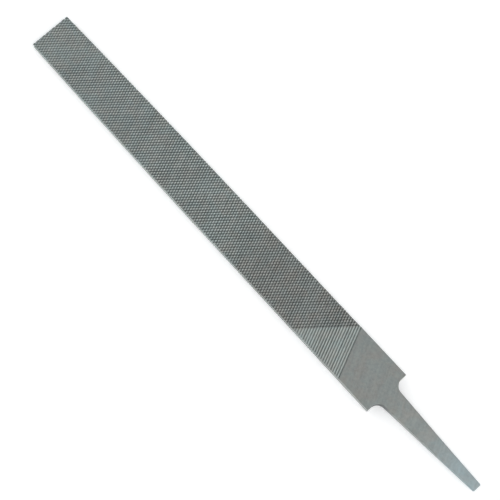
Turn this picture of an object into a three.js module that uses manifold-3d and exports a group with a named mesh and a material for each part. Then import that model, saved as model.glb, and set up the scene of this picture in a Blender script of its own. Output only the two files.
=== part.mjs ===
// Flat file, 200 mm (8 in) size: one bar of tool steel, forged to a blade
// with two broad faces and two narrow edges, and a tapered tang for a handle.
//
// Frame: +X runs along the bar from the tip (-X) to the end of the tang (+X),
// +Y across the bar, +Z up. The bar lies on one broad face. The origin is the
// middle of the outer box, at the height of the face it lies on.
// Units are millimetres.

import * as THREE from 'three';
import { mergeVertices } from 'three/addons/utils/BufferGeometryUtils.js';
import Module from 'manifold-3d';

// ---- driving dimensions ---------------------------------------------------
const BLADE_LENGTH = 200.3;        // tip to shoulder: a file's nominal size, 200
const BLADE_WIDTH = 20.3;          // across the parallel part of the blade
const BLADE_THICKNESS = 5;         // over the tooth points, parallel part
const TIP_WIDTH = 18.4;            // the blade narrows in width to its tip
const WIDTH_TAPER_START = 140;     // from the tip; parallel from here to the shoulder
const TIP_THICKNESS = 4.3;         // and a little in thickness
const THICKNESS_TAPER_START = 90;  // from the tip
const TIP_CORNER_R = 0.35;         // corners of the tip, in plan

const TANG_LENGTH = 48.8;          // shoulder to the end of the tang
const SHOULDER_FILLET_R = 3.5;     // between shoulder and tang, both sides
const TANG_ROOT_HI = 4.05;         // tang edge on the +Y side at the fillet
const TANG_ROOT_LO = -4.45;        // tang edge on the -Y side at the fillet
const TANG_END_HI = 2.48;          // the same at the end: the forged tang
const TANG_END_LO = -1.22;         // leans slightly to +Y
const TANG_WAIST_HI = 0.10;        // the +Y edge is this much hollow in the middle
const TANG_CORNER_R = 0.35;        // corners of the tang's end, in plan
const TANG_PARALLEL = 6;           // full thickness this far behind the shoulder
const TANG_END_THICKNESS = 2.5;    // then it thins evenly to this at the end

const WIDTH_STEPS = 4;             // facets along the width taper
const THICKNESS_STEPS = 4;         // facets along the thickness taper
const FILLET_STEPS = 10;           // facets round a quarter circle

// ---- derived --------------------------------------------------------------
const OVERALL = BLADE_LENGTH + TANG_LENGTH;
const X0 = -OVERALL / 2;                       // x of the tip
const HALF = BLADE_WIDTH / 2;
const XS = X0 + BLADE_LENGTH;                  // x of the shoulder
const XE = X0 + OVERALL;                       // x of the tang's end

const smoothTaper = (u, start, power = 2) => (u >= start ? 0 : ((start - u) / start) ** power);
const halfWidth = (u) => HALF - (HALF - TIP_WIDTH / 2) * smoothTaper(u, WIDTH_TAPER_START, 2.4);
const halfThickness = (u) => {
  if (u <= BLADE_LENGTH + TANG_PARALLEL) {
    return BLADE_THICKNESS / 2
      - (BLADE_THICKNESS - TIP_THICKNESS) / 2 * smoothTaper(u, THICKNESS_TAPER_START);
  }
  const f = (u - BLADE_LENGTH - TANG_PARALLEL) / (TANG_LENGTH - TANG_PARALLEL);
  return BLADE_THICKNESS / 2 + (TANG_END_THICKNESS - BLADE_THICKNESS) / 2 * Math.min(f, 1);
};

// points of an arc round (cx, cy), from angle a to angle b in degrees
function arc(cx, cy, r, a, b, steps) {
  const out = [];
  for (let i = 0; i <= steps; i++) {
    const t = THREE.MathUtils.degToRad(a + (b - a) * i / steps);
    out.push([cx + r * Math.cos(t), cy + r * Math.sin(t)]);
  }
  return out;
}

// ---- plan outline, anticlockwise seen from +Z -----------------------------
function planOutline() {
  const p = [];
  const tip = TIP_WIDTH / 2;
  // -Y side: tip corner, tapering edge, parallel edge, shoulder
  p.push(...arc(X0 + TIP_CORNER_R, -tip + TIP_CORNER_R, TIP_CORNER_R, 180, 270, 3));
  for (let i = 1; i <= WIDTH_STEPS; i++) {
    const u = WIDTH_TAPER_START * i / WIDTH_STEPS;
    p.push([X0 + u, -halfWidth(u)]);
  }
  p.push([XS, -HALF]);
  // fillet into the tang, tang edge, end corners
  const r = SHOULDER_FILLET_R;
  p.push(...arc(XS + r, TANG_ROOT_LO - r, r, 180, 90, FILLET_STEPS));
  p.push(...arc(XE - TANG_CORNER_R, TANG_END_LO + TANG_CORNER_R, TANG_CORNER_R, -86, 0, 4));
  p.push(...arc(XE - TANG_CORNER_R, TANG_END_HI - TANG_CORNER_R, TANG_CORNER_R, 0, 88, 4));
  const xa = XE - TANG_CORNER_R, xb = XS + r;
  for (let i = 1; i < 8; i++) {
    const f = i / 8;
    const y = TANG_END_HI + (TANG_ROOT_HI - TANG_END_HI) * f - TANG_WAIST_HI * Math.sin(Math.PI * f);
    p.push([xa + (xb - xa) * f, y]);
  }
  p.push(...arc(XS + r, TANG_ROOT_HI + r, r, 270, 180, FILLET_STEPS));
  // +Y side, back to the tip
  p.push([XS, HALF]);
  for (let i = WIDTH_STEPS; i >= 1; i--) {
    const u = WIDTH_TAPER_START * i / WIDTH_STEPS;
    p.push([X0 + u, halfWidth(u)]);
  }
  p.push(...arc(X0 + TIP_CORNER_R, tip - TIP_CORNER_R, TIP_CORNER_R, 90, 180, 3));
  return p;
}

// ---- side outline, in X and Z ---------------------------------------------
function sideOutline() {
  const mid = BLADE_THICKNESS / 2;
  const us = [];
  for (let i = 0; i <= THICKNESS_STEPS; i++) us.push(THICKNESS_TAPER_START * i / THICKNESS_STEPS);
  us.push(BLADE_LENGTH + TANG_PARALLEL, OVERALL);
  // the end stations reach past the plan outline, so the plan decides the length
  const at = us.map((u) => [X0 + u, halfThickness(u)]);
  at[0][0] -= 1;
  const [xl, hl] = at[at.length - 1], [xk, hk] = at[at.length - 2];
  at[at.length - 1] = [xl + 1, hl + (hl - hk) / (xl - xk)];
  return [
    ...at.map(([x, h]) => [x, mid - h]),
    ...at.slice().reverse().map(([x, h]) => [x, mid + h]),
  ];
}

function prism(points, depth) {
  const shape = new THREE.Shape(points.map(([x, y]) => new THREE.Vector2(x, y)));
  return new THREE.ExtrudeGeometry(shape, { depth, bevelEnabled: false });
}

// ---- solid: plan prism and side prism, intersected ------------------------
const wasm = await Module();
wasm.setup();

function solidOf(geometry) {
  geometry.deleteAttribute('normal');
  geometry.deleteAttribute('uv');
  const merged = mergeVertices(geometry, 1e-4);
  return new wasm.Manifold(new wasm.Mesh({
    numProp: 3,
    vertProperties: new Float32Array(merged.attributes.position.array),
    triVerts: new Uint32Array(merged.index.array),
  }));
}

function geometryOf(solid) {
  const mesh = solid.getMesh();
  const g = new THREE.BufferGeometry();
  g.setAttribute('position', new THREE.BufferAttribute(new Float32Array(mesh.vertProperties), 3));
  g.setIndex(new THREE.BufferAttribute(new Uint32Array(mesh.triVerts), 1));
  g.computeVertexNormals();
  return g;
}

const plan = prism(planOutline(), BLADE_THICKNESS + 4);
plan.translate(0, 0, -2);

const side = prism(sideOutline(), BLADE_WIDTH + 4);   // built in X, Y as x, z
side.rotateX(Math.PI / 2);                            // y becomes z, depth runs to -Y
side.translate(0, BLADE_WIDTH / 2 + 2, 0);

const body = geometryOf(solidOf(plan).intersect(solidOf(side)));

// ---- scene graph ----------------------------------------------------------
const group = new THREE.Group();

const fileBody = new THREE.Mesh(body, new THREE.MeshStandardMaterial({
  color: 0x8a8f8d,
  roughness: 0.55,
  metalness: 0.85,
}));
fileBody.name = 'file_body';
group.add(fileBody);

export default group;
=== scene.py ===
# Flat file, 200 mm: the looks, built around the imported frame.
# The teeth are real geometry: grooves are cut out of a rounded bar, on both
# broad faces and both narrow edges. Lengths here are millimetres in the
# file's own (u, v, z) frame: u from the tip, v across, z up from the floor.
import math

import bpy
import bmesh
import numpy as np
from mathutils import Matrix, Vector


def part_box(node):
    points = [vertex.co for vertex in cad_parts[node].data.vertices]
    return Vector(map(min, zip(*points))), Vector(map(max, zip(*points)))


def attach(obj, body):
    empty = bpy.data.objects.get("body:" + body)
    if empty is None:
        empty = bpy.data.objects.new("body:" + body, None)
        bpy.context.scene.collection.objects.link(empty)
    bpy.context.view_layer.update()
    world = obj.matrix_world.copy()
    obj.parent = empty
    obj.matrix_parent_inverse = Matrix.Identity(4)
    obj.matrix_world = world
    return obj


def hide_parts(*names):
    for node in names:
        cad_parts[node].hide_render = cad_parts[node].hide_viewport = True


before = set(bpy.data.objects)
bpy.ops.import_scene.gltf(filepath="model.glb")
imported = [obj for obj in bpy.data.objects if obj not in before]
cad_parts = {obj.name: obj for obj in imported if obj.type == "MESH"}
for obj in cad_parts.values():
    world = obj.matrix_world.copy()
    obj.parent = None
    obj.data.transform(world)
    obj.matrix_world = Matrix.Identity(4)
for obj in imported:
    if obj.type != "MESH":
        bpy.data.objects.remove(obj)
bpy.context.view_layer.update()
node_lo, node_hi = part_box("file_body")

MM = 0.001
SEED = 7

# ---------------------------------------------------------------- dimensions
OVERALL = (node_hi.x - node_lo.x) / MM          # 249.1, tip to tang end
THICK = (node_hi.z - node_lo.z) / MM            # 5.0
HALF_W = (node_hi.y - node_lo.y) / MM / 2       # 10.15
U_OFF = -node_lo.x / MM                         # u = x + U_OFF
BLADE = 200.3
TIP_HALF = 9.20
W_TAPER = 140.0
T_TIP = 4.3
T_TAPER = 90.0
FILLET = 3.5
TANG_HI0, TANG_LO0 = 4.05, -4.45
TANG_HI1, TANG_LO1 = 2.48, -1.22
TANG_WAIST = 0.10
TANG_FLAT = 6.0
T_TANG_END = 2.5
MID = THICK / 2

# Both cuts as wave vectors over (u, v), in grooves per mm, and a phase.
# a whole number of turns is the crest of a tooth row.
KA, CA = np.array([0.8917, 0.3842]), -0.2375       # upcut, the second, deeper cut
KB, CB = np.array([0.6968, -0.5863]), 0.221      # overcut, the first cut


def feed_error(index, family):
    """The slow drift of the cutting machine's feed along the file, in parts of a pitch."""
    if family == "a":
        u = (index - CA) / KA[0]
        return -0.12 * smoothstep(115.0, 145.0, u)
    u = (index - CB) / KB[0]
    return 0.12 * np.exp(-((u - 38.0) / 24.0) ** 2) - 0.16 * np.exp(-((u - 120.0) / 27.0) ** 2) \
        + 0.13 * smoothstep(148.0, 174.0, u)


def smoothstep(a, b, x):
    t = np.clip((np.asarray(x, float) - a) / (b - a), 0, 1)
    return t * t * (3 - 2 * t)


# groove profile: (fraction of the pitch from the crest towards the heel, depth)
PROFILE_A = [(0.00, 0.000), (0.14, 0.022), (0.50, 0.165), (0.83, 0.350)]
PROFILE_B = [(0.00, 0.000), (0.16, 0.015), (0.56, 0.160), (0.80, 0.260)]
TOOTH_DROP = 0.016                              # crests lie this far under the bar's face


def cut_strength(u, family):
    """How deep a cut goes along the file, against its profile."""
    if family == "a":
        return np.interp(u, [0, 12, 26, 110, 130, 158, 166, 180], [0.80, 0.84, 1.0, 1.0, 0.93, 0.93, 1.0, 1.0])
    return np.interp(u, [0, 12, 30, 65, 100, 120, 138, 152, 175], [1.32, 1.38, 1.48, 1.48, 1.40, 1.24, 1.08, 0.98, 0.96])


def half_width(u):
    u = np.asarray(u, float)
    return HALF_W - (HALF_W - TIP_HALF) * np.clip((W_TAPER - u) / W_TAPER, 0, 1) ** 2.4


def half_thick(u):
    u = np.asarray(u, float)
    t = MID - (THICK - T_TIP) / 2 * np.clip((T_TAPER - u) / T_TAPER, 0, 1.05) ** 2
    f = np.clip((u - BLADE - TANG_FLAT) / (OVERALL - BLADE - TANG_FLAT), 0, 1)
    return t + (T_TANG_END - THICK) / 2 * f


def tang_hi(u):
    f = np.clip((u - BLADE - FILLET) / (OVERALL - BLADE - FILLET), 0, 1)
    return TANG_HI0 + (TANG_HI1 - TANG_HI0) * f - TANG_WAIST * np.sin(np.pi * f)


def tang_lo(u):
    f = np.clip((u - BLADE - FILLET) / (OVERALL - BLADE - FILLET), 0, 1)
    return TANG_LO0 + (TANG_LO1 - TANG_LO0) * f


def to_row(pts):
    """(u, v, z) in mm to the row frame in metres."""
    p = np.array(pts, float).reshape(-1, 3)
    p[:, 0] -= U_OFF
    return p * MM


def mesh_object(name, pts, faces):
    me = bpy.data.meshes.new(name)
    me.from_pydata(to_row(pts).tolist(), [], faces)
    me.validate()
    ob = bpy.data.objects.new(name, me)
    bpy.context.scene.collection.objects.link(ob)
    return ob


# ------------------------------------------------------------ the rounded bar
ARC_K = 3                                       # facets round each long edge


def half_outline(side):
    """Points of one side of the plan, tip to tang end, as (u, v, inward normal, edge radius).
    side is +1 for the +Y side. Both sides have the same count."""
    s = side
    out = []
    # blade edge, from the tip's corner
    us = list(np.linspace(0.0, W_TAPER, 36)) + list(np.linspace(W_TAPER + 4, BLADE, 14))
    for u in us:
        hw = float(half_width(u))
        # a softly rounded corner where the end of the tip meets the edge
        r = 0.10 if u < 168 else 0.10 + 0.14 * min((u - 168) / 14, 1)
        if u == us[-1]:
            out.append((u, s * hw, (-1.0, -s * 1.0), 0.24))
        else:
            out.append((u, s * hw, (0.0, -s * 1.0), r))
    # shoulder flat to the fillet
    root = TANG_HI0 if s > 0 else -TANG_LO0     # distance of the tang edge
    y_fl = root + FILLET
    for i in range(1, 3):
        y = HALF_W + (y_fl - HALF_W) * i / 3
        out.append((BLADE, s * y, (-1.0, 0.0), 0.24))
    # concave fillet
    n = 14
    for i in range(n + 1):
        t = math.pi * (1.0 + 0.5 * i / n)       # 180 to 270 degrees
        c, d = math.cos(t), math.sin(t)
        out.append((BLADE + FILLET + FILLET * c, s * (y_fl + FILLET * d), (c, s * d), 0.24 + 0.10 * i / n))
    # tang edge
    f = tang_hi if s > 0 else tang_lo
    end_r = 0.38
    for u in np.linspace(BLADE + FILLET + 2.0, OVERALL - end_r, 16):
        out.append((u, float(f(u)), (0.0, -s * 1.0), 0.36))
    # corner of the tang's end
    yc = float(f(OVERALL)) - s * end_r
    for i in range(1, 5):
        t = math.pi / 2 * (1 - i / 4.6)
        out.append((OVERALL - end_r + end_r * math.cos(t), yc + s * end_r * math.sin(t),
                    (-math.cos(t), -s * math.sin(t)), 0.36))
    return out


def rounded_bar():
    lo, hi = half_outline(-1), half_outline(+1)
    n = len(lo)
    loop = lo + hi[::-1]                        # anticlockwise from above
    m = len(loop)
    levels = []                                 # (top?, angle) from bottom cap to top cap
    for i in range(ARC_K, -1, -1):
        levels.append((False, math.pi / 2 * i / ARC_K))
    for i in range(ARC_K + 1):
        levels.append((True, math.pi / 2 * i / ARC_K))
    pts = []
    for top, phi in levels:
        for (u, v, nrm, r) in loop:
            inset = r * (1 - math.cos(phi))
            uu, vv = u + nrm[0] * inset, v + nrm[1] * inset
            # a small round on the tip's end too
            if u < 1e-9:
                uu = inset
            ht = float(half_thick(min(max(uu, 0), OVERALL)))
            h = ht - r + r * math.sin(phi)
            pts.append((uu, vv, MID + h if top else MID - h))
    faces = []
    L = len(levels)
    for k in range(L - 1):
        for i in range(m):
            j = (i + 1) % m
            faces.append((k * m + i, k * m + j, (k + 1) * m + j, (k + 1) * m + i))
    # caps: a ladder of strips where the face curves, one face where it is flat
    top0, bot0 = (L - 1) * m, 0
    us = [p[0] for p in lo]

    def opp(i):
        return m - 1 - i
    flat = [i for i in range(n) if T_TAPER <= us[i] <= BLADE + TANG_FLAT]
    i0, i1 = flat[0], flat[-1]
    for base, up in ((top0, True), (bot0, False)):
        for i in range(n - 1):
            if i0 <= i < i1:
                continue
            q = (base + i, base + i + 1, base + opp(i + 1), base + opp(i))
            faces.append(q if up else q[::-1])
        ring = [base + i for i in range(i0, i1 + 1)] + [base + opp(i) for i in range(i1, i0 - 1, -1)]
        faces.append(tuple(ring) if up else tuple(ring[::-1]))
    return mesh_object("bar", pts, faces)


# ------------------------------------------------------- what the cuts remove
rng = np.random.default_rng(SEED)


def smooth_noise(count, scale):
    x = rng.normal(size=count + 8 * scale)
    k = np.hanning(2 * scale + 1); k /= np.sqrt((k ** 2).sum())
    return np.convolve(x, k, "same")[4 * scale:4 * scale + count]


def face_cutter(name, flip, a_end, b_end):
    """The metal that the two crossing cuts take off one broad face, as one closed solid."""
    na, nb = len(PROFILE_A), len(PROFILE_B)
    # index range of the two families over the toothed area
    corners = np.array([(u, v) for u in (-1.5, 190.0) for v in (-10.8, 10.8)])
    ia = corners @ KA + CA
    ib = corners @ KB + CB
    a0, a1 = int(np.floor(ia.min())), a_end
    b0, b1 = int(np.floor(ib.min())), int(np.ceil(ib.max()))
    # each groove's own small error in place and depth
    ja = rng.normal(0, 0.020, a1 - a0 + 2)
    jb = rng.normal(0, 0.020, b1 - b0 + 2)
    da = 1 + rng.normal(0, 0.05, a1 - a0 + 2) + 0.04 * smooth_noise(a1 - a0 + 2, 6)
    db = 1 + rng.normal(0, 0.06, b1 - b0 + 2) + 0.05 * smooth_noise(b1 - b0 + 2, 6)
    A, DA = [], []                              # line positions and depths, family a
    for i in range(a0, a1 + 1):
        for (f, d) in PROFILE_A:
            # the crest's own line moves with the groove that made it
            w = ja[i - a0] * (1 - f) + ja[i - a0 + 1] * f
            A.append(i + f + w - float(feed_error(i + f, "a"))); DA.append(d * da[i - a0])
            if i == a1:
                break
    # past the last groove the steep wall runs on up out of the face
    A.append(A[-1] + 0.20); DA.append(-0.45)
    Bv, DB = [], []
    for j in range(b0, b1 + 1):
        for (f, d) in PROFILE_B:
            w = jb[j - b0] * (1 - f) + jb[j - b0 + 1] * f
            Bv.append(j + f + w - float(feed_error(j + f, "b"))); DB.append(d * db[j - b0] if j < b_end else 0.0)
    A, DA, Bv, DB = map(np.array, (A, DA, Bv, DB))
    # the last row: replace the crest at a_end with a wall rising from the groove before it
    crest = np.isclose(A, A[-2])
    DA[crest] = -0.05
    K = np.array([KA, KB])
    Ki = np.linalg.inv(K)
    AA, BB = np.meshgrid(A - CA, Bv - CB, indexing="ij")
    UV = np.stack([AA, BB], -1) @ Ki.T          # (u, v) of each crossing
    U, V = UV[..., 0], UV[..., 1]
    depth = DA[:, None] * np.where(DA[:, None] > 0, cut_strength(U, "a"), 1.0) + DB[None, :] * cut_strength(U, "b")
    # single teeth differ a little in height
    depth = depth + np.abs(rng.normal(0, 0.006, depth.shape)) * (depth > -0.01)
    depth[DA < 0] = np.broadcast_to(DA[:, None], depth.shape)[DA < 0]
    Z = MID + half_thick(U) - TOOTH_DROP - depth
    # keep the cells that reach the blade
    def cell(x):
        return np.stack([x[:-1, :-1], x[1:, :-1], x[1:, 1:], x[:-1, 1:]], -1)
    cu, cv = cell(U), cell(V)
    keep = (cu.max(-1) > -0.7) & (cv.max(-1) > -HALF_W - 0.35) & (cv.min(-1) < HALF_W + 0.35)
    ii, jj = np.nonzero(keep)
    W = U.shape[1]
    top = {}
    vid = -np.ones(U.shape, int)
    used = np.zeros(U.shape, bool)
    for di, dj in ((0, 0), (1, 0), (1, 1), (0, 1)):
        used[ii + di, jj + dj] = True
    vid[used] = np.arange(used.sum())
    n = int(used.sum())
    roof = MID + MID + 2.0
    P0 = np.stack([U[used], V[used], Z[used]], -1)
    P1 = np.stack([U[used], V[used], np.full(n, roof)], -1)
    q = np.stack([vid[ii, jj], vid[ii + 1, jj], vid[ii + 1, jj + 1], vid[ii, jj + 1]], -1)
    # orientation in (u, v): K's determinant gives the sense
    if np.linalg.det(K) < 0:
        q = q[:, ::-1]
    # q is now anticlockwise from above: it is the floor of the removed solid, so it faces down
    floor_q, roof_q = q[:, ::-1], q + n
    e = np.concatenate([q[:, [0, 1]], q[:, [1, 2]], q[:, [2, 3]], q[:, [3, 0]]])
    key = {}
    for a, b in e.tolist():
        if (b, a) in key:
            del key[(b, a)]
        else:
            key[(a, b)] = True
    walls = [(a, b, b + n, a + n) for a, b in key]
    pts = np.concatenate([P0, P1])
    faces = floor_q.tolist() + roof_q.tolist() + walls
    if flip:                                    # the other face: turned over about the long axis
        pts = pts * np.array([1, -1, -1]) + np.array([0, 0, THICK])
    return mesh_object(name, pts, faces)


def edge_cutter(name, side, u_end):
    """The metal that the single cut takes off one narrow edge."""
    pitch, slant = 1.06, math.tan(math.radians(20.0))
    prof = [(0.0, 0.0), (0.16, 0.012), (0.80, 0.17)]
    z0, z1 = -0.8, THICK + 0.8
    n = int((u_end + 4) / pitch)
    js = rng.normal(0, 0.03, n + 2)
    ds = 1 + rng.normal(0, 0.10, n + 2)
    line = []
    for i in range(n):
        for f, d in prof:
            w = js[i] * (1 - f) + js[i + 1] * f
            line.append(((i + f + w) * pitch - 3.0, d * ds[i]))
    line = [(u, d) for u, d in line if u > -2.5]
    line.append((line[-1][0] + 0.20, -0.35))
    pts, m = [], len(line)
    for zz in (z0, z1):
        for u, d in line:
            uu = u + (zz - MID) * slant * 1.0
            pts.append((uu, side * (float(half_width(uu)) - 0.012 - d), zz))
    for zz in (z0, z1):
        for u, d in line:
            uu = u + (zz - MID) * slant
            pts.append((uu, side * (HALF_W + 1.5), zz))
    faces = []
    A0, A1, B0, B1 = 0, m, 2 * m, 3 * m
    for i in range(m - 1):
        j = i + 1
        quads = [(A0 + i, A1 + i, A1 + j, A0 + j),          # toothed wall
                 (B0 + j, B1 + j, B1 + i, B0 + i),          # far wall
                 (A1 + i, B1 + i, B1 + j, A1 + j),          # top
                 (A0 + j, B0 + j, B0 + i, A0 + i)]          # bottom
        faces += quads
    faces.append((A0, B0, B1, A1))
    faces.append((A0 + m - 1, A1 + m - 1, B1 + m - 1, B0 + m - 1))
    ob = mesh_object(name, pts, faces)
    if side < 0:
        ob.data.flip_normals()
    return ob


def last_index(k, c, pts):
    """The row number of a cut through the mean of some points."""
    return int(round(float(np.mean(np.array(pts) @ k) + c)))


A_END = last_index(KA, CA, [(175.23, 9.76), (183.98, -10.2)])
B_END = last_index(KB, CB, [(160.51, -6.39), (172.6, 7.91)])

bar = rounded_bar()
cutters = [
    face_cutter("cut_top", False, A_END, B_END),
    face_cutter("cut_bottom", True, A_END, B_END),
    edge_cutter("cut_left", +1, 172.0),
    edge_cutter("cut_right", -1, 172.0),
]


def fix_normals(ob):
    bm = bmesh.new(); bm.from_mesh(ob.data)
    bmesh.ops.recalc_face_normals(bm, faces=bm.faces)
    bm.to_mesh(ob.data); bm.free()


for ob in [bar] + cutters:
    fix_normals(ob)
for i, c in enumerate(cutters):
    m = bar.modifiers.new(f"cut{i}", "BOOLEAN")
    m.operation = "DIFFERENCE"
    m.object = c
    m.solver = "MANIFOLD"
bpy.context.view_layer.update()
dg = bpy.context.evaluated_depsgraph_get()
cut_mesh = bpy.data.meshes.new_from_object(bar.evaluated_get(dg), depsgraph=dg)
for ob in [bar] + cutters:
    me = ob.data
    bpy.data.objects.remove(ob)
    bpy.data.meshes.remove(me)

blade = bpy.data.objects.new("file_blade_and_tang", cut_mesh)
cut_mesh.name = "file_blade_and_tang"
bpy.context.scene.collection.objects.link(blade)

# ------------------------------------------------------------- mesh clean-up
bm = bmesh.new()
bm.from_mesh(cut_mesh)
bmesh.ops.remove_doubles(bm, verts=bm.verts, dist=2e-7)
bmesh.ops.dissolve_degenerate(bm, edges=bm.edges, dist=2e-7)
loose = [v for v in bm.verts if not v.link_faces]
bmesh.ops.delete(bm, geom=loose, context="VERTS")
open_edges = sum(1 for e in bm.edges if len(e.link_faces) != 2)
for e in bm.edges:
    if len(e.link_faces) == 2:
        e.smooth = e.calc_face_angle(0) < math.radians(24)
bm.normal_update()
for f in bm.faces:
    # the tip is ground flat, right up to the tooth gaps that break its border
    f.smooth = not (f.normal.x < -0.97 and f.calc_center_median().x < node_lo.x + 0.15 * MM)
    if not f.smooth:
        for e in f.edges:
            e.smooth = False
tri = sum(len(f.verts) - 2 for f in bm.faces)
bm.to_mesh(cut_mesh)
bm.free()

# large flat faces keep their own direction at their rounded borders
wn = blade.modifiers.new("weighted", "WEIGHTED_NORMAL")
wn.mode = "FACE_AREA"
wn.weight = 80
wn.keep_sharp = True
bpy.context.view_layer.update()
dg = bpy.context.evaluated_depsgraph_get()
shaded = bpy.data.meshes.new_from_object(blade.evaluated_get(dg), depsgraph=dg)
blade.modifiers.clear()
blade.data = shaded
bpy.data.meshes.remove(cut_mesh)
cut_mesh = shaded
cut_mesh.name = "file_blade_and_tang"
print("MESH verts", len(cut_mesh.vertices), "faces", len(cut_mesh.polygons), "tris", tri, "open edges", open_edges, flush=True)

# ------------------------------------- per-vertex depth below the bar's faces
me = cut_mesh
nv = len(me.vertices)
co = np.empty(nv * 3, np.float32)
me.vertices.foreach_get("co", co)
co = co.reshape(-1, 3).astype(float)
vu, vv, vz = co[:, 0] / MM + U_OFF, co[:, 1] / MM, co[:, 2] / MM
face_gap = np.minimum(MID + half_thick(vu) - vz, vz - (MID - half_thick(vu)))
side_gap = half_width(vu) - np.abs(vv)
groove = np.where(vu < BLADE - 6.0, np.clip(np.minimum(face_gap, side_gap + 0.15), 0, 1.0), 0.0)
# on the side walls only the side's own cuts count
wall = side_gap < 0.02
groove[wall] = 0.0
side_cut = (side_gap > 0.02) & (side_gap < 0.30) & (face_gap > 0.45) & (vu < BLADE - 10)
groove[side_cut] = np.clip(side_gap[side_cut], 0, 1) * 1.6
# stored per face corner, so that the flat tip doesn't take the gaps' tone over its border
corner_vert = np.empty(len(me.loops), np.int32)
me.loops.foreach_get("vertex_index", corner_vert)
p_nrm = np.empty(len(me.polygons) * 3, np.float32)
me.polygons.foreach_get("normal", p_nrm)
p_cen = np.empty(len(me.polygons) * 3, np.float32)
me.polygons.foreach_get("center", p_cen)
p_tot = np.empty(len(me.polygons), np.int32)
me.polygons.foreach_get("loop_total", p_tot)
tip_face = (p_nrm.reshape(-1, 3)[:, 0] < -0.97) & (p_cen.reshape(-1, 3)[:, 0] < node_lo.x + 0.15 * MM)
on_tip = np.repeat(tip_face, p_tot)
# Over the crossed cuts the painted groove shade is a little lighter towards the heel; the crossed cuts are also made
# brighter over the half towards the tip, and darker all over nearest the heel.
along = np.stack([vu, vv], -1) @ KB + CB
crossed = (along < B_END + 0.2) & (groove > 0.004)
groove_shade_scale = np.where(crossed, np.interp(vu, [0, 75, 105, 125, 142, 200], [1.0, 1.0, 0.93, 0.90, 0.92, 0.92]), 1.0)
crossed_brighten = np.where(crossed, np.interp(vu, [0, 14, 34, 80, 108, 136, 200], [0.08, 0.10, 0.20, 0.20, 0.15, 0.04, 0.03]), 0.0)
crossed_darken = np.where(crossed, smoothstep(108.0, 138.0, vu), 0.0)
# painted shade on the walls of the two fillets, which lie in shade inside the notches
normals = np.empty(nv * 3, np.float32)
me.vertex_normals.foreach_get("vector", normals)
up = np.abs(normals.reshape(-1, 3)[:, 2])
notch_shade_mask = smoothstep(BLADE - 0.4, BLADE + 0.05, vu) * (1 - smoothstep(BLADE + 2.8, BLADE + 9.0, vu)) * (1 - smoothstep(7.3, 8.3, np.abs(vv)))
notch_shade_mask = notch_shade_mask * (1 - smoothstep(0.55, 0.85, up)) * (side_gap > 0.4)
for name, values in (("groove", groove), ("groove_shade_scale", groove_shade_scale), ("crossed_brighten", crossed_brighten), ("crossed_darken", crossed_darken), ("scale", notch_shade_mask)):
    att = me.attributes.new(name, "FLOAT", "CORNER")
    values = np.where(on_tip, 0.0, values[corner_vert])
    att.data.foreach_set("value", values.astype(np.float32))

# ------------------------------------------------------------------------ UVs
# Two strips of half the length for each broad face, then the narrow edges:
# an even scale of 8 pixels per millimetre on a 1024 map.
np_ = len(me.polygons)
nl = len(me.loops)
loop_v = np.empty(nl, np.int32); me.loops.foreach_get("vertex_index", loop_v)
starts = np.empty(np_, np.int32); me.polygons.foreach_get("loop_start", starts)
totals = np.empty(np_, np.int32); me.polygons.foreach_get("loop_total", totals)
nrm = np.empty(np_ * 3, np.float32); me.polygons.foreach_get("normal", nrm); nrm = nrm.reshape(-1, 3)
cen = np.empty(np_ * 3, np.float32); me.polygons.foreach_get("center", cen); cen = cen.reshape(-1, 3)
cu, cv, cz = cen[:, 0] / MM + U_OFF, cen[:, 1] / MM, cen[:, 2] / MM
c_side = half_width(cu) - np.abs(cv)
c_face = np.minimum(MID + half_thick(cu) - cz, cz - (MID - half_thick(cu)))
broad = np.abs(nrm[:, 2]) > 0.5
toothed = (cu < 186) & (c_face < 0.75) & (c_side > 0.22)
broad |= toothed
half = (cu > OVERALL / 2).astype(int)
kind = np.where(broad, np.where(cz > MID, 0, 1), np.where(cv > 0, 2, 3))
SPAN = 128.0
rows_y = {(0, 0): 0.4, (0, 1): 21.4, (1, 0): 42.4, (1, 1): 63.4, (2, 0): 84.6, (2, 1): 91.2, (3, 0): 97.8, (3, 1): 104.4}
poly_of_loop = np.repeat(np.arange(np_), totals)
order = np.concatenate([np.arange(s, s + t) for s, t in zip(starts, totals)]) if not np.array_equal(starts, np.cumsum(np.r_[0, totals[:-1]])) else np.arange(nl)
lu, lv, lz = vu[loop_v], vv[loop_v], vz[loop_v]
k_l, h_l = kind[poly_of_loop], half[poly_of_loop]
uv = np.zeros((nl, 2))
uv[:, 0] = (lu - np.where(h_l == 1, OVERALL / 2 - 0.4, -1.2)) + 0.6
base = np.zeros(nl)
for (k, h), y in rows_y.items():
    base[(k_l == k) & (h_l == h)] = y
across = np.where(k_l <= 1, lv + 10.05, lz)
uv[:, 1] = base + across
# ends and shoulders, which face along the file, get patches of their own
endish = (np.abs(nrm[:, 0]) > 0.75) & ~broad
e_l = endish[poly_of_loop]
tipf = endish & (cu < 2); shf = endish & (cu > 190) & (cu < 210); tgf = endish & (cu > 240)
for mask, x0 in ((tipf, 2.0), (shf, 26.0), (tgf, 50.0)):
    m_l = mask[poly_of_loop]
    uv[m_l, 0] = x0 + lv[m_l] + 10.05
    uv[m_l, 1] = 112.0 + lz[m_l]
uv /= SPAN
layer = me.uv_layers.new(name="OFBake")
layer.data.foreach_set("uv", uv.astype(np.float32).ravel())

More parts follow.
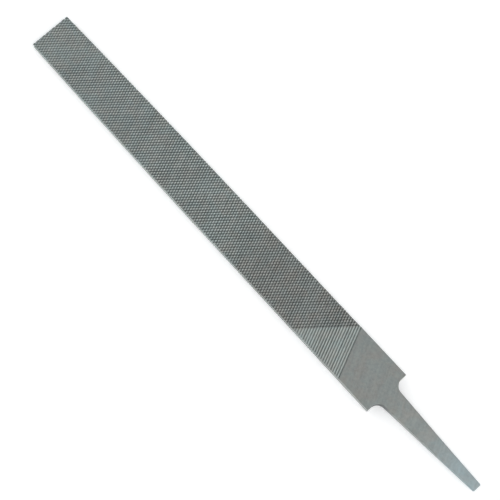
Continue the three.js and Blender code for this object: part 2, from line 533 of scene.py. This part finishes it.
# ------------------------------------------------------------------- material
def steel_material():
    mat = bpy.data.materials.new("file_steel")
    mat.use_nodes = True
    nt = mat.node_tree
    nt.nodes.clear()
    N, Lk = nt.nodes.new, nt.links.new
    out = N("ShaderNodeOutputMaterial")
    bsdf = N("ShaderNodeBsdfPrincipled")
    Lk(bsdf.outputs[0], out.inputs[0])
    bsdf.inputs["Metallic"].default_value = 1.0
    tc = N("ShaderNodeTexCoord")

    def noise(scale, detail=4.0, rough=0.55, vec=None, dist=0.0):
        n = N("ShaderNodeTexNoise")
        n.inputs["Scale"].default_value = scale
        n.inputs["Detail"].default_value = detail
        n.inputs["Roughness"].default_value = rough
        n.inputs["Distortion"].default_value = dist
        Lk(vec if vec is not None else tc.outputs["Object"], n.inputs["Vector"])
        return n.outputs["Fac"]

    def mapping(scale=(1, 1, 1), rot=(0, 0, 0)):
        """Turned first, then stretched."""
        r = N("ShaderNodeMapping")
        r.inputs["Rotation"].default_value = rot
        Lk(tc.outputs["Object"], r.inputs["Vector"])
        m = N("ShaderNodeMapping")
        m.inputs["Scale"].default_value = scale
        Lk(r.outputs[0], m.inputs["Vector"])
        return m.outputs[0]

    def mrange(val, a, b, c, d, smooth=False):
        m = N("ShaderNodeMapRange")
        if smooth:
            m.interpolation_type = "SMOOTHSTEP"
        for i, x in enumerate((a, b, c, d)):
            m.inputs[i + 1].default_value = x
        Lk(val, m.inputs[0])
        return m.outputs[0]

    def mix(fac, a, b, mode="MIX"):
        m = N("ShaderNodeMix")
        m.data_type = "RGBA"
        m.blend_type = mode
        m.clamp_factor = True
        if isinstance(fac, float):
            m.inputs[0].default_value = fac
        else:
            Lk(fac, m.inputs[0])
        for s, x in ((6, a), (7, b)):
            if isinstance(x, tuple):
                m.inputs[s].default_value = (*x, 1.0)
            else:
                Lk(x, m.inputs[s])
        return m.outputs[2]

    def math_(op, a, b):
        m = N("ShaderNodeMath")
        m.operation = op
        for i, x in enumerate((a, b)):
            if isinstance(x, (int, float)):
                m.inputs[i].default_value = x
            else:
                Lk(x, m.inputs[i])
        return m.outputs[0]

    def attribute(name):
        n = N("ShaderNodeAttribute")
        n.attribute_type = "GEOMETRY"
        n.attribute_name = name
        return n.outputs["Fac"]

    depth = attribute("groove")
    pos = N("ShaderNodeSeparateXYZ")
    Lk(tc.outputs["Object"], pos.inputs[0])
    x = pos.outputs[0]

    # faint cool and warm patches over the steel, millimetres across
    warm = mrange(noise(190.0, 3.0, 0.6, dist=0.5), 0.36, 0.66, 0.0, 1.0, True)
    tone = mix(warm, STEEL_COOL, STEEL_WARM)
    cloud = mrange(noise(75.0, 3.0, 0.55), 0.30, 0.70, 0.972, 1.028)
    tone = mix(1.0, tone, cloud, "MULTIPLY")
    # painted light: the cut faces are made brighter than the blank's own scoured skin, standing for the light their
    # slopes catch, and a touch cooler
    cut = mrange(depth, 0.004, 0.03, 0.0, 1.0)
    tone = mix(cut, tone, mix(1.0, tone, (1.20, 1.245, 1.25), "MULTIPLY"))
    # fine grain of the blasted surface
    grain = mrange(noise(3600.0, 3.0, 0.7), 0.25, 0.75, 0.90, 1.10)
    tone = mix(1.0, tone, grain, "MULTIPLY")
    mottle = mrange(noise(950.0, 3.0, 0.6), 0.32, 0.68, 0.928, 1.072)
    tone = mix(1.0, tone, mottle, "MULTIPLY")
    specks = mrange(noise(1500.0, 2.0, 0.5), 0.66, 0.74, 1.0, 0.90)
    tone = mix(1.0, tone, specks, "MULTIPLY")
    # the tang is a little brighter and bluer towards its end
    end = mrange(x, (214 - U_OFF) * MM, (244 - U_OFF) * MM, 0.0, 1.0, True)
    tone = mix(end, tone, mix(1.0, tone, TANG_TINT, "MULTIPLY"))
    # faint grinding streaks across the smooth steel
    streak = noise(1100.0, 2.0, 0.6, vec=mapping(scale=(1.0, 0.06, 1.0), rot=(0, 0, math.radians(-28))))
    streak = mrange(streak, 0.38, 0.66, 0.955, 1.036)
    tone = mix(1.0, tone, streak, "MULTIPLY")
    # painted shade: the grooves are darkened by their depth, standing for the shade that falls inside them
    groove_shade = math_("MULTIPLY", mrange(depth, GROOVE_SHADE_RANGE[0], GROOVE_SHADE_RANGE[1], 0.0, 1.0), attribute("groove_shade_scale"))
    tone = mix(groove_shade, tone, mix(1.0, tone, GROOVE_SHADE_TINT, "MULTIPLY"))
    tone = mix(1.0, tone, mix(attribute("crossed_brighten"), (1.0, 1.0, 1.0), CROSSED_BRIGHTEN_TINT), "MULTIPLY")
    tone = mix(attribute("crossed_darken"), tone, mix(1.0, tone, CROSSED_DARKEN_TINT, "MULTIPLY"))
    # painted shade on the fillet walls
    tone = mix(attribute("scale"), tone, mix(1.0, tone, NOTCH_SHADE_TINT, "MULTIPLY"))
    Lk(tone, bsdf.inputs["Base Color"])

    rough = mrange(noise(700.0, 3.0, 0.6), 0.3, 0.7, 0.48, 0.58)
    rough = math_("ADD", rough, mrange(depth, 0.05, 0.5, 0.0, 0.12))
    Lk(rough, bsdf.inputs["Roughness"])

    bump = N("ShaderNodeBump")
    bump.inputs["Strength"].default_value = 0.20
    bump.inputs["Distance"].default_value = 0.00003
    fine = math_("ADD", noise(5200.0, 2.0, 0.6), math_("MULTIPLY", noise(1300.0, 2.0, 0.5), 0.8))
    Lk(fine, bump.inputs["Height"])
    Lk(bump.outputs[0], bsdf.inputs["Normal"])
    return mat


STEEL_COOL, STEEL_WARM = (0.345, 0.3755, 0.364), (0.366, 0.3695, 0.349)
TANG_TINT = (1.09, 1.22, 1.31)
# the middle tint here is painted shade on the fillet walls
CROSSED_BRIGHTEN_TINT, NOTCH_SHADE_TINT, CROSSED_DARKEN_TINT = (2.06, 2.0, 2.0), (0.42, 0.43, 0.44), (0.86, 0.82, 0.815)
# painted shade in the grooves: the depths where it starts and is full, and its tint
GROOVE_SHADE_RANGE, GROOVE_SHADE_TINT = (0.05, 0.46), (0.32, 0.34, 0.345)
steel = steel_material()
me.materials.clear()
me.materials.append(steel)
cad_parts["file_body"].data.materials.clear()
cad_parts["file_body"].data.materials.append(steel)

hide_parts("file_body")
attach(blade, "root")

# ---------------------------------------------------------------- the setting
FLOOR_GLOW = 0.36
def floor_material():
    mat = bpy.data.materials.new("floor_paper")
    mat.use_nodes = True
    b = mat.node_tree.nodes["Principled BSDF"]
    b.inputs["Base Color"].default_value = (0.93, 0.93, 0.93, 1)
    b.inputs["Roughness"].default_value = 0.95
    b.inputs["Specular IOR Level"].default_value = 0.1
    b.inputs["Emission Color"].default_value = (1, 1, 1, 1)
    b.inputs["Emission Strength"].default_value = FLOOR_GLOW
    return mat


fm = bpy.data.meshes.new("floor")
S = 3.0
fm.from_pydata([(-S, -S, 0), (S, -S, 0), (S, S, 0), (-S, S, 0)], [], [(0, 1, 2, 3)])
floor = bpy.data.objects.new("floor", fm)
fm.materials.append(floor_material())
bpy.context.scene.collection.objects.link(floor)

# The studio walls: brightness at the horizon, at 20 degrees and from 49 degrees up, for four sides
SKY_BANDS = (0.0, 0.35, 0.75)                   # sine of the elevation
SKY = {"+X": (0.90, 0.0, 2.24), "+Y": (0.90, 0.0, 0.0), "-X": (8.3, 1.13, 0.68), "-Y": (0.90, 0.0, 0.46)}
SKY_COLOUR = (0.98, 0.99, 1.0)


def sky(levels):
    world = bpy.data.worlds.new("studio_walls")
    world.use_nodes = True
    nt = world.node_tree
    bg = nt.nodes["Background"]
    tc = nt.nodes.new("ShaderNodeTexCoord")
    sep = nt.nodes.new("ShaderNodeSeparateXYZ")
    nt.links.new(tc.outputs["Generated"], sep.inputs[0])

    def m(op, p, q=None):
        n = nt.nodes.new("ShaderNodeMath")
        n.operation = op
        for i, v in enumerate((p, q)):
            if v is None:
                continue
            if isinstance(v, (int, float)):
                n.inputs[i].default_value = v
            else:
                nt.links.new(v, n.inputs[i])
        return n.outputs[0]

    def ramp(v, a, b, lo, hi):
        n = nt.nodes.new("ShaderNodeMapRange")
        for i, x in enumerate((a, b, lo, hi)):
            n.inputs[i + 1].default_value = x
        nt.links.new(v, n.inputs[0])
        return n.outputs[0]
    x, y, z = sep.outputs
    flat = m("MAXIMUM", m("ADD", m("MULTIPLY", x, x), m("MULTIPLY", y, y)), 1e-5)
    total = None
    for side, (w0, w1, w2) in levels.items():
        c = x if side[1] == "X" else y
        if side[0] == "-":
            c = m("MULTIPLY", c, -1.0)
        c = m("MAXIMUM", c, 0.0)
        lobe = m("DIVIDE", m("MULTIPLY", c, c), flat)
        lev = m("ADD", ramp(z, SKY_BANDS[0], SKY_BANDS[1], w0, w1), ramp(z, SKY_BANDS[1], SKY_BANDS[2], 0.0, w2 - w1))
        term = m("MULTIPLY", lobe, lev)
        total = term if total is None else m("ADD", total, term)
    nt.links.new(total, bg.inputs[1])
    bg.inputs[0].default_value = (*SKY_COLOUR, 1.0)
    bpy.context.scene.world = world
    return world


sky(SKY)


def area(name, direction, dist, size, power, colour=(1, 1, 1)):
    d = Vector(direction).normalized()
    li = bpy.data.lights.new(name, "AREA")
    li.shape = "DISK"
    li.size = size
    li.energy = power
    li.color = colour
    ob = bpy.data.objects.new(name, li)
    ob.location = d * dist
    ob.rotation_euler = (-d).to_track_quat("-Z", "Y").to_euler()
    bpy.context.scene.collection.objects.link(ob)
    return ob


area("key", (0.78, 0.45, 0.44), 0.9, 0.5, 0.9)

# --------------------------------------------------------------------- camera
TILT, TURN = math.radians(13.160), math.radians(47.870)
DIST, FOCAL_PX = 479.42, 1209.87               # mm, and pixels of a 500 wide picture
AIM = (122.864, -0.529)                        # (u, v) under the picture's centre
B3 = np.array([[math.cos(TURN), math.sin(TURN), 0], [-math.sin(TURN), math.cos(TURN), 0], [0, 0, 1.0]])
R3 = np.array([[1, 0, 0], [0, math.cos(TILT), math.sin(TILT)], [0, -math.sin(TILT), math.cos(TILT)]])
M3 = (R3 @ B3).T                               # columns: the camera's right, up and back
centre = np.array([AIM[0], AIM[1], 0.0]) + M3 @ np.array([0, 0, DIST])
cam_data = bpy.data.cameras.new("camera")
cam_data.sensor_width = 36.0
cam_data.sensor_fit = "HORIZONTAL"
cam_data.lens = FOCAL_PX / 500 * 36.0
cam_data.clip_start, cam_data.clip_end = 0.01, 20.0
cam = bpy.data.objects.new("camera", cam_data)
mat4 = Matrix([[*M3[0], (centre[0] - U_OFF) * MM], [*M3[1], centre[1] * MM], [*M3[2], centre[2] * MM], [0, 0, 0, 1]])
cam.matrix_world = mat4
bpy.context.scene.collection.objects.link(cam)
bpy.context.scene.camera = cam
bpy.context.scene.view_settings.view_transform = "Standard"
bpy.context.scene.view_settings.look = "None"
